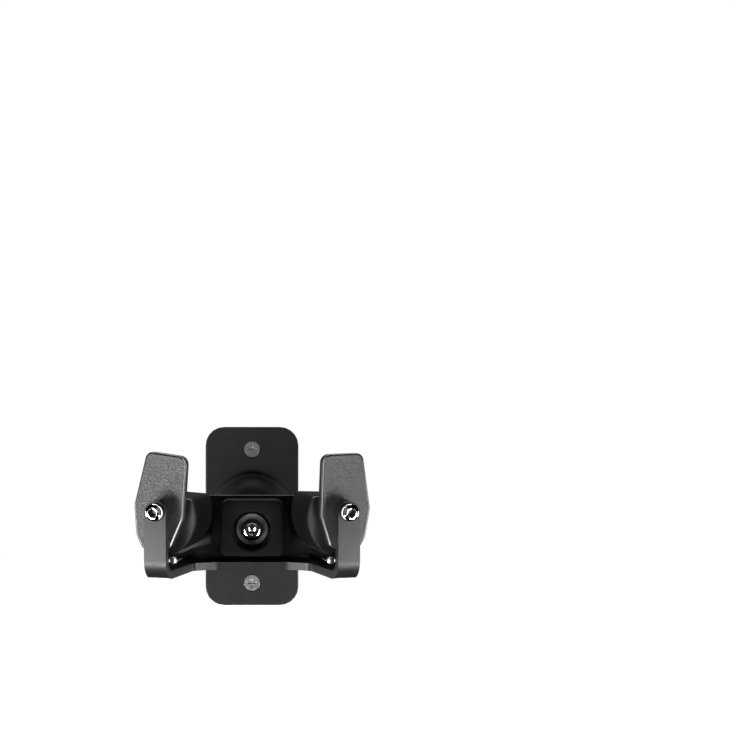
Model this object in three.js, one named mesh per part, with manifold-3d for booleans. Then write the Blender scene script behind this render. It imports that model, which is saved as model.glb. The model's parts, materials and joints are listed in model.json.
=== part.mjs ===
// Wall guitar hanger with two swinging gates.
// Millimetres. The wall is the plane y = 0, the room is on the -Y side, up is +Z.
// The origin is the middle of the wall plate's back face.
import * as THREE from 'three';
import { mergeVertices } from 'three/addons/utils/BufferGeometryUtils.js';
import Module from 'manifold-3d';

const wasm = await Module();
wasm.setup();

// ---- driving dimensions -------------------------------------------------------------------
const gap = 0.3;                    // left between pieces that touch or nearly touch

const plateWidth = 50;              // wall plate
const plateHeight = 96;
const plateThickness = 3;
const plateCorner = 10;
const wallScrewHeight = 36;         // above and below the middle of the plate
const wallScrewRadius = 2.2;
const wallScrewHeadRadius = 4.4;

const stemRadius = 9;               // stem between wall plate and yoke
const stemFlangeRadius = 19;
const stemFlangeThickness = 5;
const stemNoseRadius = 13;
const stemNoseThickness = 4;
const stemScrewCircle = 14;
const stemScrewCount = 3;
const coverRadius = 23.5;           // moulded cover over the stem's flange
const coverDepth = 15;
const coverWall = 2;

const sheet = 3.6;                  // bent steel of the yoke
const bendOuter = 9;                // outer radius of the bend under each strap
const rearBendOuter = 6;            // outer radius of the bend behind the tray
const strapWidth = 10;
const strapFront = 103;             // wall to strap face, along the axles' crossing with it
const axleSpacing = 84.6;           // between the axles at the strap faces
const axleHeight = 12;              // axles above the swivel
const axleYaw = 14 * Math.PI / 180; // each axle turns outward towards the room
const trayDrop = 30.1;              // underside of the tray below the axles
const backPlateRise = 3.9;          // top of the back plate above the axles
const earStart = 46;                // back ear, measured along the axle from the strap's face
const earOuter = -10;               // ear width, measured inward from the axle
const earInner = 12;
const padThickness = 9.6;           // soft pad on the back plate
const padWidth = 30;
const padHeight = 26.5;
const padHole = 9.1;                // clears the swivel bolt's head and washer

const swivelBoltRadius = 3;
const swivelWasherRadius = 8.5;
const swivelPinCircle = 10.5;
const swivelPinRadius = 1.5;
const swivelHalfTravel = 15 * Math.PI / 180;

const axleRadius = 2.5;
const boltHeadRadius = 4.1;
const boltHeadHeight = 2.7;
const socketFlats = 3.2;
const gateFront = 8;                // along the axle from the strap's face
const gateThickness = 5;
const gateBevel = 1.1;
const restFront = 13.3;             // front face of the rest's end disc
const restDisc = 3;
const restBack = 43.7;
const sleeveInset = 0.3;            // sleeve's round side inside the end disc's edge
const sleeveRise = 0.6;             // sleeve's flat top above the end disc's
const sleeveThickness = 1.3;
const bushRadius = 3.2;
const springDepth = 8;              // pocket for the return spring in the back of the rest
const springPocket = 4.55;
const springRadius = 4;
const springWire = 0.35;
const springTurns = 4;
const stopRodInward = 5;            // stop rod, inward of and below the axle
const stopRodBelow = 22;
const stopRodRadius = 1.4;
const rearWasherRadius = 4.2;
const lockNutFlats = 7.6;

const openLean = -2.3 * Math.PI / 180;   // a gate against its open stop
const leftLean = 3.7 * Math.PI / 180;    // the left gate stands a few degrees further in
const rightLean = openLean;

// ---- solids -------------------------------------------------------------------------------
function toManifold(geometry) {
  geometry.deleteAttribute('normal');
  geometry.deleteAttribute('uv');
  const merged = mergeVertices(geometry, 1e-4);
  return new wasm.Manifold(new wasm.Mesh({
    numProp: 3,
    vertProperties: new Float32Array(merged.attributes.position.array),
    triVerts: new Uint32Array(merged.index.array),
  }));
}

function toGeometry(solid) {
  const mesh = solid.getMesh();
  const geometry = new THREE.BufferGeometry();
  geometry.setAttribute('position', new THREE.BufferAttribute(new Float32Array(mesh.vertProperties), 3));
  geometry.setIndex(new THREE.BufferAttribute(new Uint32Array(mesh.triVerts), 1));
  geometry.computeVertexNormals();
  return geometry;
}

function joined(first, ...others) {
  return others.reduce((sum, solid) => sum.add(solid), first);
}

function cut(first, ...others) {
  return others.reduce((rest, solid) => rest.subtract(solid), first);
}

// A flat outline in (x, z), given thickness along y from `from` to `to`.
function prism(shape, from, to, bevel = 0) {
  const geometry = new THREE.ExtrudeGeometry(shape, {
    depth: to - from - 2 * bevel,
    bevelEnabled: bevel > 0,
    bevelThickness: bevel,
    bevelSize: bevel,
    bevelOffset: -bevel,
    bevelSegments: 2,
    curveSegments: 8,
  });
  geometry.translate(0, 0, bevel);
  geometry.rotateX(Math.PI / 2);
  geometry.translate(0, to, 0);
  return toManifold(geometry);
}

// A flat outline in (x, y), standing from height `from` to height `to`.
function slab(shape, from, to) {
  const geometry = new THREE.ExtrudeGeometry(shape, {
    depth: to - from,
    bevelEnabled: false,
    curveSegments: 8,
  });
  geometry.translate(0, 0, from);
  return toManifold(geometry);
}

// A profile in (y, z), given width along x from `from` to `to`.
function rail(shape, from, to) {
  const geometry = new THREE.ExtrudeGeometry(shape, {
    depth: to - from,
    bevelEnabled: false,
    curveSegments: 8,
  });
  geometry.rotateY(Math.PI / 2);
  geometry.rotateX(Math.PI / 2);
  geometry.translate(from, 0, 0);
  return toManifold(geometry);
}

function rod(radius, from, to, sides = 24) {
  const geometry = new THREE.CylinderGeometry(radius, radius, to - from, sides);
  geometry.translate(0, (from + to) / 2, 0);
  return toManifold(geometry);
}

function ring(inner, outer, from, to, sides = 24) {
  return cut(rod(outer, from, to, sides), rod(inner, from - 1, to + 1, sides));
}

function hexagon(flats, from, to) {
  const geometry = new THREE.CylinderGeometry(flats / Math.sqrt(3), flats / Math.sqrt(3), to - from, 6);
  geometry.translate(0, (from + to) / 2, 0);
  return toManifold(geometry);
}

// A closed profile of [radius, y] pairs, turned about the y axis.
function turned(profile, sides = 32) {
  const points = profile.map(([radius, y]) => new THREE.Vector2(radius, y));
  if (THREE.ShapeUtils.area(points) < 0) points.reverse();
  points.push(points[0].clone());
  return toManifold(new THREE.LatheGeometry(points, sides));
}

function outline(corners, mirror = 1) {
  const points = corners.map(([x, z]) => new THREE.Vector2(x * mirror, z));
  return new THREE.Shape(points);
}

// Rounds each [x, z, radius] corner of a polygon with short straight steps; [x, z] stays sharp.
function roundedCorners(corners, steps = 5) {
  const result = [];
  corners.forEach(([x, z, radius], index) => {
    if (!radius) {
      result.push([x, z]);
      return;
    }
    const [px, pz] = corners[(index + corners.length - 1) % corners.length];
    const [nx, nz] = corners[(index + 1) % corners.length];
    const before = new THREE.Vector2(px - x, pz - z).normalize();
    const after = new THREE.Vector2(nx - x, nz - z).normalize();
    const half = Math.acos(THREE.MathUtils.clamp(before.dot(after), -1, 1)) / 2;
    const centreDistance = radius / Math.sin(half);
    const middle = before.clone().add(after).normalize();
    const centre = new THREE.Vector2(x, z).addScaledVector(middle, centreDistance);
    const start = new THREE.Vector2(x, z).addScaledVector(before, radius / Math.tan(half)).sub(centre);
    const end = new THREE.Vector2(x, z).addScaledVector(after, radius / Math.tan(half)).sub(centre);
    const turn = Math.atan2(start.x * end.y - start.y * end.x, start.dot(end));
    for (let step = 0; step <= steps; step += 1) {
      const angle = turn * step / steps;
      const point = start.clone().rotateAround(new THREE.Vector2(), angle).add(centre);
      result.push([point.x, point.y]);
    }
  });
  return result;
}

function piece(name, solid, colour, roughness, metalness) {
  const material = new THREE.MeshStandardMaterial({ color: colour, roughness, metalness });
  const mesh = new THREE.Mesh(toGeometry(solid), material);
  mesh.name = name;
  return mesh;
}

const paint = 0x2f3031;
const blackPlastic = 0x1f2020;
const rubber = 0x0c0c0c;
const bright = 0xd9dadb;
const nylon = 0x1c1c1c;
const bronze = 0x9a7a4a;

// ---- base on the wall ---------------------------------------------------------------------
function wallPlate() {
  const w = plateWidth / 2;
  const h = plateHeight / 2;
  const corners = [[-w, -h, plateCorner], [w, -h, plateCorner], [w, h, plateCorner], [-w, h, plateCorner]];
  let plate = prism(outline(roundedCorners(corners)), -plateThickness, 0, 0.4);
  for (const z of [-wallScrewHeight, wallScrewHeight]) {
    const sink = new THREE.CylinderGeometry(
      wallScrewRadius + gap, wallScrewHeadRadius + gap, 2.2, 32);
    sink.translate(0, -plateThickness + 1.1 - 0.01, 0);
    const hole = joined(toManifold(sink), rod(wallScrewRadius + gap, -plateThickness, 1));
    plate = cut(plate, hole.translate([0, 0, z]));
  }
  for (let index = 0; index < stemScrewCount; index += 1) {
    const angle = Math.PI / 2 + index * 2 * Math.PI / stemScrewCount;
    const x = stemScrewCircle * Math.cos(angle);
    const z = stemScrewCircle * Math.sin(angle);
    plate = cut(plate, rod(2 + gap, -plateThickness - 1, 1, 20).translate([x, 0, z]));
  }
  return plate;
}

function wallScrew() {
  const head = wallScrewHeadRadius;
  const top = -plateThickness + 0.1;
  const body = turned([[0, top], [head - 0.1, top], [wallScrewRadius, top + 2.1],
    [wallScrewRadius, -gap], [0, -gap]]);
  const slot = new THREE.BoxGeometry(4.6, 1.6, 0.9);
  const cross = joined(toManifold(slot.clone()), toManifold(slot.rotateY(Math.PI / 2)));
  return cut(body, cross.translate([0, top, 0]));
}

function stem() {
  const back = -plateThickness - gap;
  const flange = back - stemFlangeThickness;
  const nose = noseFace();
  const body = turned([
    [0, back], [stemFlangeRadius, back], [stemFlangeRadius, flange + 1], [stemFlangeRadius - 1, flange],
    [stemRadius + 1.2, flange], [stemRadius + 0.35, flange - 0.35], [stemRadius, flange - 1.2],
    [stemRadius, nose + stemNoseThickness + 4], [stemNoseRadius - 0.8, nose + stemNoseThickness],
    [stemNoseRadius, nose + stemNoseThickness - 0.8], [stemNoseRadius, nose + 0.6],
    [stemNoseRadius - 0.6, nose], [0, nose]]);
  let drilled = cut(body, rod(swivelBoltRadius + gap, nose - 1, nose + 20));
  drilled = cut(drilled,
    rod(swivelPinRadius + gap, nose - 1, nose + 3.4, 20).translate([0, 0, swivelPinCircle]));
  for (let index = 0; index < stemScrewCount; index += 1) {
    const angle = Math.PI / 2 + index * 2 * Math.PI / stemScrewCount;
    const x = stemScrewCircle * Math.cos(angle);
    const z = stemScrewCircle * Math.sin(angle);
    drilled = cut(drilled, rod(2 + gap, flange - 1, back + 1, 20).translate([x, 0, z]));
  }
  return drilled;
}

function stemScrew() {
  const seat = -plateThickness - gap - stemFlangeThickness - gap;
  const body = turned([[0, seat - 2.2], [2, seat - 2.2], [3.1, seat - 1.5], [3.5, seat],
    [2, seat], [2, -0.5], [0, -0.5]], 24);
  return cut(body, hexagon(2.5, seat - 3, seat - 0.9));
}

function baseCover() {
  const back = -plateThickness - gap;
  const front = back - coverDepth;
  const hole = stemRadius + 0.5;
  return turned([
    [coverRadius, back], [coverRadius, back - 3.5], [coverRadius - 1.6, back - 6],
    [coverRadius - 5, back - 8.4], [hole + 4.2, front + 1.6], [hole + 2.4, front], [hole, front],
    [hole, front + coverWall], [hole + 2.6, front + coverWall + 1],
    [coverRadius - 6, back - 6.6], [coverRadius - 3.2, back - 4.8],
    [coverRadius - coverWall, back - 3], [coverRadius - coverWall, back]], 48);
}

// ---- places along the swivel --------------------------------------------------------------
// Front face of the yoke's middle back plate.
function backPlateFront() {
  return -strapFront + earStart * Math.cos(axleYaw) - earInner * Math.sin(axleYaw);
}

// Front face of the stem's nose, behind the plain washer.
function noseFace() {
  return backPlateFront() + sheet + gap + 1.2 + gap;
}

function swivelBolt() {
  const seat = backPlateFront() - gap - 1.5 - gap;
  const r = swivelBoltRadius;
  const body = turned([[0, seat - 3.3], [2.6, seat - 3.2], [4.4, seat - 2.4], [5.3, seat - 1],
    [5.4, seat], [r, seat], [r, noseFace() + 17], [r - 0.8, noseFace() + 17.8], [0, noseFace() + 17.8]]);
  return cut(body, hexagon(4, seat - 4, seat - 1.2));
}

function swivelWasher() {
  const seat = backPlateFront() - gap;
  return ring(swivelBoltRadius + gap, 7.5, seat - 1.5, seat);
}

function swivelFrictionWasher() {
  const face = noseFace() - gap;
  return ring(swivelBoltRadius + gap, swivelWasherRadius, face - 1.2, face);
}

function swivelStopPin() {
  const front = backPlateFront() + 0.4;
  return rod(swivelPinRadius, front, noseFace() + 3, 20).translate([0, 0, swivelPinCircle]);
}

// ---- yoke ---------------------------------------------------------------------------------
// The yoke's own frame: x and y as the part, z = 0 at the swivel.
const trayBottom = axleHeight - trayDrop;
const trayTop = trayBottom + sheet;
const backPlateTop = axleHeight + backPlateRise;

// A point given along one side's axle, as plain x and y. side is -1 left, +1 right.
function plan(side, inward, along) {
  const x = -side * inward;
  const turn = side * axleYaw;
  return [
    side * axleSpacing / 2 + x * Math.cos(turn) - along * Math.sin(turn),
    -strapFront + x * Math.sin(turn) + along * Math.cos(turn),
  ];
}

// Plate with a bend at its foot, running forward as a short piece of tray.
function bentProfile(front, reach) {
  const back = front + sheet;
  const inner = rearBendOuter - sheet;
  const shape = new THREE.Shape();
  shape.moveTo(back, backPlateTop);
  shape.lineTo(front, backPlateTop);
  shape.lineTo(front, trayTop + inner);
  shape.absarc(back - rearBendOuter, trayBottom + rearBendOuter, inner, 0, -Math.PI / 2, true);
  shape.lineTo(front - reach, trayTop);
  shape.lineTo(front - reach, trayBottom);
  shape.lineTo(back - rearBendOuter, trayBottom);
  shape.absarc(back - rearBendOuter, trayBottom + rearBendOuter, rearBendOuter, -Math.PI / 2, 0, false);
  return shape;
}

function strap(side) {
  const half = strapWidth / 2;
  const low = -trayDrop + bendOuter;
  const face = new THREE.Shape();
  face.moveTo(-half, low);
  face.lineTo(half, low);
  face.lineTo(half, 0);
  face.absarc(0, 0, half, 0, Math.PI, false);
  const upright = prism(face, 0, sheet);
  const bend = new THREE.Shape();
  bend.moveTo(0, low);
  bend.absarc(bendOuter, low, bendOuter, Math.PI, 1.5 * Math.PI, false);
  bend.lineTo(bendOuter + 3, -trayDrop);
  bend.lineTo(bendOuter + 3, -trayDrop + sheet);
  bend.lineTo(bendOuter, -trayDrop + sheet);
  bend.absarc(bendOuter, low, bendOuter - sheet, 1.5 * Math.PI, Math.PI, true);
  const foot = rail(bend, -half, half);
  return placed(joined(upright, foot), side);
}

// Puts a solid made about one axle into the yoke's frame.
function placed(solid, side) {
  const turn = side * axleYaw * 180 / Math.PI;
  return solid.rotate([0, 0, turn]).translate([side * axleSpacing / 2, -strapFront, axleHeight]);
}

function ear(side) {
  const ends = [-side * earOuter, -side * (earInner - 0.15)];
  const body = rail(bentProfile(earStart, 12), Math.min(...ends), Math.max(...ends));
  const trimmed = body.translate([0, 0, -axleHeight]);
  const rounding = roundedCorners([
    [-earOuter, -40, 0.5], [-earOuter, backPlateRise, 5], [-earInner - 1, backPlateRise, 0.2],
    [-earInner - 1, -40, 0.5]]);
  const keep = prism(outline(rounding, side), earStart - 14, earStart + sheet + 1);
  return placed(trimmed.intersect(keep), side);
}

function tray() {
  const half = strapWidth / 2 - 0.04;
  const left = [
    [-16, -70.3, 9],
    [-27.3, -74, 5],
    plan(-1, half, bendOuter + 1),
    plan(-1, -half, bendOuter + 1),
    [...plan(-1, -half - 1.5, 20), 12],
    [...plan(-1, earOuter + 0.04, 34), 12],
    plan(-1, earOuter + 0.04, 42),
    [-17, backPlateFront() - 1],
  ];
  const right = left.map(([x, y, radius]) => [-x, y, radius]).reverse();
  return slab(outline(roundedCorners([...left, ...right])), trayBottom, trayTop);
}

function yokeFrame() {
  const front = backPlateFront();
  const middleHalf = Math.abs(plan(-1, earInner, earStart)[0]) + 0.25;
  const middle = rail(bentProfile(front, 6), -middleHalf, middleHalf);
  let frame = joined(tray(), middle, ear(-1), ear(1), strap(-1), strap(1));
  frame = cut(frame, rod(swivelBoltRadius + gap, front - 5, front + sheet + 5));
  frame = cut(frame, swivelSlot(front));
  for (const side of [-1, 1]) {
    const axleHole = rod(axleRadius + gap, -5, earStart + 12);
    const stopHole = rod(stopRodRadius + gap, earStart - 5, earStart + 12, 20)
      .translate([-side * stopRodInward, 0, -stopRodBelow]);
    frame = cut(frame, placed(axleHole, side), placed(stopHole, side));
  }
  return frame;
}

// Curved slot that lets the yoke turn until the stop pin meets its ends.
function swivelSlot(front) {
  const shape = new THREE.Shape();
  const width = swivelPinRadius + 0.45;
  const from = Math.PI / 2 - swivelHalfTravel;
  const to = Math.PI / 2 + swivelHalfTravel;
  shape.absarc(0, 0, swivelPinCircle + width, from, to, false);
  shape.absarc(swivelPinCircle * Math.cos(to), swivelPinCircle * Math.sin(to), width,
    to, to + Math.PI, false);
  shape.absarc(0, 0, swivelPinCircle - width, to, from, true);
  shape.absarc(swivelPinCircle * Math.cos(from), swivelPinCircle * Math.sin(from), width,
    from + Math.PI, from + 2 * Math.PI, false);
  return prism(shape, front - 1, front + sheet + 1);
}

function neckPad() {
  const w = padWidth / 2;
  const back = backPlateFront() - gap;
  const low = trayTop + 2.6;
  const corners = [[-w, low, 3], [w, low, 3], [w, low + padHeight, 4], [-w, low + padHeight, 4]];
  const pad = prism(outline(roundedCorners(corners)), back - padThickness, back, 0.9);
  return cut(pad, rod(padHole, back - padThickness - 1, back + 1, 40));
}

// ---- one side: axle hardware, in the frame of the axle -------------------------------------
function axleBolt() {
  const r = boltHeadRadius;
  const h = boltHeadHeight;
  const body = turned([
    [0, -h - gap], [2.3, -h - gap], [3, -h - gap + 0.5], [3.65, -h - gap + 1.15],
    [r, -h - gap + 2.1], [r, -gap - 0.2], [r - 0.2, -gap], [axleRadius, -gap],
    [axleRadius, earStart + 11], [axleRadius - 0.6, earStart + 11.6], [0, earStart + 11.6]]);
  return cut(body, hexagon(socketFlats, -h - gap - 1, -gap - 0.9));
}

function frontSpacer() {
  return ring(axleRadius + gap, 4.5, sheet + gap, gateFront - gap);
}

function rearSpacer() {
  return ring(axleRadius + gap, 5.5, restBack + gap, earStart - gap);
}

function rearWasher() {
  return ring(axleRadius + gap, rearWasherRadius, earStart + sheet + gap, earStart + sheet + gap + 1);
}

function lockNut() {
  const from = earStart + sheet + 2 * gap + 1;
  const flat = lockNutFlats / 2;
  const corner = flat * 1.22;
  const collar = flat * 0.92;
  const top = from + 5.2;
  const chamfered = turned([[0, from], [flat, from], [corner, from + 0.6], [corner, from + 3.4],
    [collar, from + 4], [0, from + 4]], 36);
  const body = chamfered.intersect(hexagon(lockNutFlats, from, from + 4));
  return cut(joined(body, rod(collar - 0.1, from + 3, top, 36)), rod(axleRadius + gap, from - 1, from + 7));
}

function stopRod(side) {
  const back = earStart + sheet + gap;
  const body = turned([[0, 8.8], [stopRodRadius - 0.5, 8.8], [stopRodRadius, 9.3],
    [stopRodRadius, back], [2.3, back], [2.3, back + 0.6], [1.6, back + 1.1], [0, back + 1.1]], 24);
  return body.translate([-side * stopRodInward, 0, -stopRodBelow]);
}

// ---- one side: the swinging cam, in the frame of the axle with the gate upright --------------
const gateCorners = [
  [10.3, -2.7, 2], [10.3, 24.6, 4], [-8.4, 25.9, 3.4], [-12.9, 1.3, 7], [-11.1, -11.5, 6],
  [-7.6, -18.1, 3], [5.4, -16.3, 2.5]];

function gate(side) {
  const shape = outline(roundedCorners(gateCorners), -side);
  const body = prism(shape, gateFront, gateFront + gateThickness, gateBevel);
  const bore = rod(bushRadius + gap, gateFront - 1, gateFront + gateThickness + 1);
  const pocket = prism(keyShape(gap, side), gateFront + 2.6, gateFront + gateThickness + 1);
  return cut(body, bore, pocket);
}

// Upright oblong key that makes the gate turn with the rest behind it.
function keyShape(grow, side) {
  const w = 5.2 + grow;
  const h = 11 + grow;
  const corners = [[-w, -h + 2, 3], [w, -h + 2, 3], [w, h, 3], [-w, h, 3]];
  return outline(roundedCorners(corners), -side);
}

// Flat-topped rest outline. grow is added all round the end disc's, and rise to its flat top.
const restCentre = [-4, -3.4];
const restRadius = 18.6;
const restTop = 5.6;
const restOuter = -9.6;

function restShape(side, grow = 0, rise = grow) {
  const radius = restRadius + grow;
  const fillet = 3;
  const top = restTop + rise;
  const filletZ = top - fillet - restCentre[1];
  const filletX = Math.sqrt((radius - fillet) ** 2 - filletZ ** 2);
  const start = Math.atan2(filletZ, filletX);
  const points = [];
  for (let step = 0; step <= 5; step += 1) {
    const angle = Math.PI / 2 + (start - Math.PI / 2) * step / 5;
    const x = restCentre[0] + filletX + fillet * Math.cos(angle);
    points.push([x, top - fillet + fillet * Math.sin(angle)]);
  }
  const end = -100 * Math.PI / 180;
  const count = 26;
  for (let step = 1; step <= count; step += 1) {
    const angle = start + (end - start) * step / count;
    points.push([restCentre[0] + radius * Math.cos(angle), restCentre[1] + radius * Math.sin(angle)]);
  }
  const corner = 3;
  const outer = restOuter - grow;
  points.push([outer, -15]);
  for (let step = 0; step <= 5; step += 1) {
    const angle = Math.PI - Math.PI / 2 * step / 5;
    points.push([outer + corner + corner * Math.cos(angle), top - corner + corner * Math.sin(angle)]);
  }
  return outline(points, -side);
}

// Lug on the end disc that meets the stop rod when the gate is fully open.
function stopLug(side) {
  const rodAngle = Math.atan2(-stopRodBelow, stopRodInward);
  const rodDistance = Math.hypot(stopRodBelow, stopRodInward);
  const near = rodAngle - (stopRodRadius + gap) / rodDistance + openLean;
  const far = near - 12 * Math.PI / 180;
  const at = (angle, radius) => [radius * Math.cos(angle), radius * Math.sin(angle)];
  const tip = rodDistance + 0.2;
  const crest = at((near + far) / 2, tip + 0.2);
  const points = [at(near, 15), at(near, tip), crest, at(far, tip - 0.2), at(far, 15)];
  return prism(outline(points, -side), restFront, restFront + restDisc);
}

function restCore(side) {
  const disc = prism(restShape(side), restFront, restFront + restDisc, 0.35);
  const inside = restShape(side, -sleeveInset - sleeveThickness, sleeveRise - sleeveThickness);
  const core = prism(inside, restFront + restDisc - 0.5, restBack);
  const key = prism(keyShape(0, side), gateFront + 2.9, restFront + 1);
  const body = joined(disc, core, key, stopLug(side));
  const bore = rod(bushRadius + gap, gateFront, restBack + 1);
  const pocket = rod(springPocket, restBack - springDepth, restBack + 1);
  return cut(body, bore, pocket);
}

function restSleeve(side) {
  const from = restFront + restDisc + gap;
  const thickness = sleeveThickness - gap;
  const outside = prism(restShape(side, -sleeveInset, sleeveRise), from, restBack, 0.7);
  const bore = restShape(side, -sleeveInset - thickness, sleeveRise - thickness);
  return cut(outside, prism(bore, from - 1, restBack + 1));
}

function frontBush() {
  return ring(axleRadius + gap, bushRadius, gateFront + gap, gateFront + 16);
}

function rearBush() {
  return ring(axleRadius + gap, bushRadius, restBack - springDepth - 10, restBack);
}

// Torsion spring: a helix with one straight leg reaching to the pocket's wall.
class Helix extends THREE.Curve {
  constructor(side) {
    super();
    this.side = side;
  }

  getPoint(t, target = new THREE.Vector3()) {
    const angle = this.side * t * springTurns * 2 * Math.PI;
    const y = restBack - springDepth + 1 + t * (springDepth - 2.2);
    return target.set(springRadius * Math.cos(angle), y, springRadius * Math.sin(angle));
  }
}

function returnSpring(side) {
  const wire = new THREE.Shape();
  for (let index = 0; index < 6; index += 1) {
    const angle = index * Math.PI / 3;
    const point = [springWire * Math.cos(angle), springWire * Math.sin(angle)];
    if (index) wire.lineTo(...point);
    else wire.moveTo(...point);
  }
  const geometry = new THREE.ExtrudeGeometry(wire, {
    steps: springTurns * 16,
    extrudePath: new Helix(side),
    bevelEnabled: false,
  });
  return toManifold(geometry);
}

// ---- assembly -----------------------------------------------------------------------------
function addBase(root) {
  root.add(piece('wall_plate', wallPlate(), paint, 0.5, 0.6));
  for (const [place, z] of [['top', wallScrewHeight], ['bottom', -wallScrewHeight]]) {
    const screw = piece(`wall_screw_${place}`, wallScrew(), bright, 0.3, 1);
    screw.position.z = z;
    root.add(screw);
  }
  root.add(piece('stem', stem(), paint, 0.45, 0.6));
  for (let index = 0; index < stemScrewCount; index += 1) {
    const angle = Math.PI / 2 + index * 2 * Math.PI / stemScrewCount;
    const screw = piece(`stem_screw_${index + 1}`, stemScrew(), bright, 0.35, 1);
    screw.position.x = stemScrewCircle * Math.cos(angle);
    screw.position.z = stemScrewCircle * Math.sin(angle);
    root.add(screw);
  }
  root.add(piece('base_cover', baseCover(), blackPlastic, 0.55, 0));
  root.add(piece('swivel_bolt', swivelBolt(), bright, 0.25, 1));
  root.add(piece('swivel_washer', swivelWasher(), bright, 0.3, 1));
  root.add(piece('swivel_friction_washer', swivelFrictionWasher(), nylon, 0.6, 0));
  root.add(piece('swivel_stop_pin', swivelStopPin(), bright, 0.35, 1));
}

function addSide(yoke, side, label, lean) {
  const axle = new THREE.Group();
  axle.position.set(side * axleSpacing / 2, -strapFront, axleHeight);
  axle.rotation.z = side * axleYaw;
  axle.add(piece(`${label}_axle_bolt`, axleBolt(), bright, 0.12, 1));
  axle.add(piece(`${label}_front_spacer`, frontSpacer(), nylon, 0.6, 0));
  axle.add(piece(`${label}_rear_spacer`, rearSpacer(), nylon, 0.6, 0));
  axle.add(piece(`${label}_rear_washer`, rearWasher(), bright, 0.3, 1));
  axle.add(piece(`${label}_lock_nut`, lockNut(), bright, 0.3, 1));
  axle.add(piece(`${label}_stop_rod`, stopRod(side), bright, 0.15, 1));

  const cam = new THREE.Group();
  cam.rotation.y = -side * lean;
  cam.add(piece(`${label}_gate`, gate(side), 0x55585b, 0.6, 0));
  cam.add(piece(`${label}_rest_core`, restCore(side), blackPlastic, 0.5, 0));
  cam.add(piece(`${label}_rest_sleeve`, restSleeve(side), rubber, 0.8, 0));
  cam.add(piece(`${label}_front_bush`, frontBush(), bronze, 0.4, 1));
  cam.add(piece(`${label}_rear_bush`, rearBush(), bronze, 0.4, 1));
  cam.add(piece(`${label}_return_spring`, returnSpring(side), bright, 0.3, 1));
  axle.add(cam);
  yoke.add(axle);
}

const hanger = new THREE.Group();
hanger.name = 'wall_guitar_hanger';
addBase(hanger);
const yoke = new THREE.Group();
yoke.add(piece('yoke_frame', yokeFrame(), paint, 0.45, 0.6));
yoke.add(piece('neck_pad', neckPad(), rubber, 0.85, 0));
addSide(yoke, -1, 'left', leftLean);
addSide(yoke, 1, 'right', rightLean);
hanger.add(yoke);

export default hanger;
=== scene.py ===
"""Looks of the wall guitar hanger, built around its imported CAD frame."""
import json
import math

import bmesh
import bpy
from mathutils import Matrix, Vector, noise
from mathutils.geometry import tessellate_polygon


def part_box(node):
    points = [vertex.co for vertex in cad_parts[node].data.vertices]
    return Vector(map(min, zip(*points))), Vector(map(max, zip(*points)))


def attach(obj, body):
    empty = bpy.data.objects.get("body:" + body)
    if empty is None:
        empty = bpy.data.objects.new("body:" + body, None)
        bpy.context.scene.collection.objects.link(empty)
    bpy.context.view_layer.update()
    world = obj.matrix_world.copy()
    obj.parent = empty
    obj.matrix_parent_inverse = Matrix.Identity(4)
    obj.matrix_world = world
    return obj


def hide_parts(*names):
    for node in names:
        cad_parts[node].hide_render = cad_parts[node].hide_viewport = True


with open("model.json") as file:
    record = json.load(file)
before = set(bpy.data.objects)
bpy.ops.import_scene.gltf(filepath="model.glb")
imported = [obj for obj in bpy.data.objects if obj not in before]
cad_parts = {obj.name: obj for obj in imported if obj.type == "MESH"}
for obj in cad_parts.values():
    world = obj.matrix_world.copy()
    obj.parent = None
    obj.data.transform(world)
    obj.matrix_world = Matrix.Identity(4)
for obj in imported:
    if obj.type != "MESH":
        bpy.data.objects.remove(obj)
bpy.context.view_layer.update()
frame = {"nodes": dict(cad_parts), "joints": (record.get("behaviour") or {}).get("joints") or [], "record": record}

MM = 0.001
SIDES = {"left": -1, "right": 1}
LEAN = {"left": math.radians(3.7), "right": math.radians(-2.3)}

# The same driving dimensions as the CAD, in millimetres.
GAP = 0.3
SHEET = 3.6
BEND_OUTER = 9.0
REAR_BEND = 6.0
BEND_STEPS = 10
STRAP_HALF = 5.0
TRAY_DROP = 30.1
BACK_RISE = 3.9
EAR_START = 46.0
EAR_BACK = EAR_START + SHEET
EAR_OUTER = -10.0
EAR_INNER = 12.0
EAR_ROUND = 5.0
NOTCH = [(16, -70.3, 9), (27.3, -74, 5)]    # out, along the tray, radius
GATE_FRONT = 8.0
GATE_THICK = 5.0
REST_FRONT = 13.3
REST_DISC = 3.0
REST_BACK = 43.7
SLEEVE_INSET = 0.3
SLEEVE_RISE = 0.6
SLEEVE_THICK = 1.3
STOP_ROD = (5.0, -22.0, 1.4)         # inward, up, radius
AXLE_RADIUS = 2.5
AXLE_BORE = 2.8                      # axle's radius with its clearance
SOCKET_SIDES = 96
GRAIN_SEED = 5                       # without it the grain's warp differs from run to run


# ---- frames ---------------------------------------------------------------------------------
def joint(name):
    return next(j for j in frame["joints"] if j["name"] == name)


def side_matrix(label):
    """Maps (inward, along the axle, up) in millimetres to metres in the row's frame."""
    side = SIDES[label]
    data = joint(label + "_gate_swing")
    axis = Vector(data["axis"]).normalized()
    along = axis if axis.y > 0 else -axis
    inward = Vector((-side * along.y, side * along.x, 0))
    up = Vector((0, 0, 1))
    rows = [[inward[i] * MM, along[i] * MM, up[i] * MM, data["pos_m"][i]] for i in range(3)]
    return Matrix(rows + [[0, 0, 0, 1]])


def cam_matrix(label):
    angle = LEAN[label]
    c, s = math.cos(angle), math.sin(angle)
    lean = Matrix(((c, 0, s, 0), (0, 1, 0, 0), (-s, 0, c, 0), (0, 0, 0, 1)))
    return side_matrix(label) @ lean


PLAIN = Matrix.Diagonal((MM, MM, MM, 1))


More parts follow.
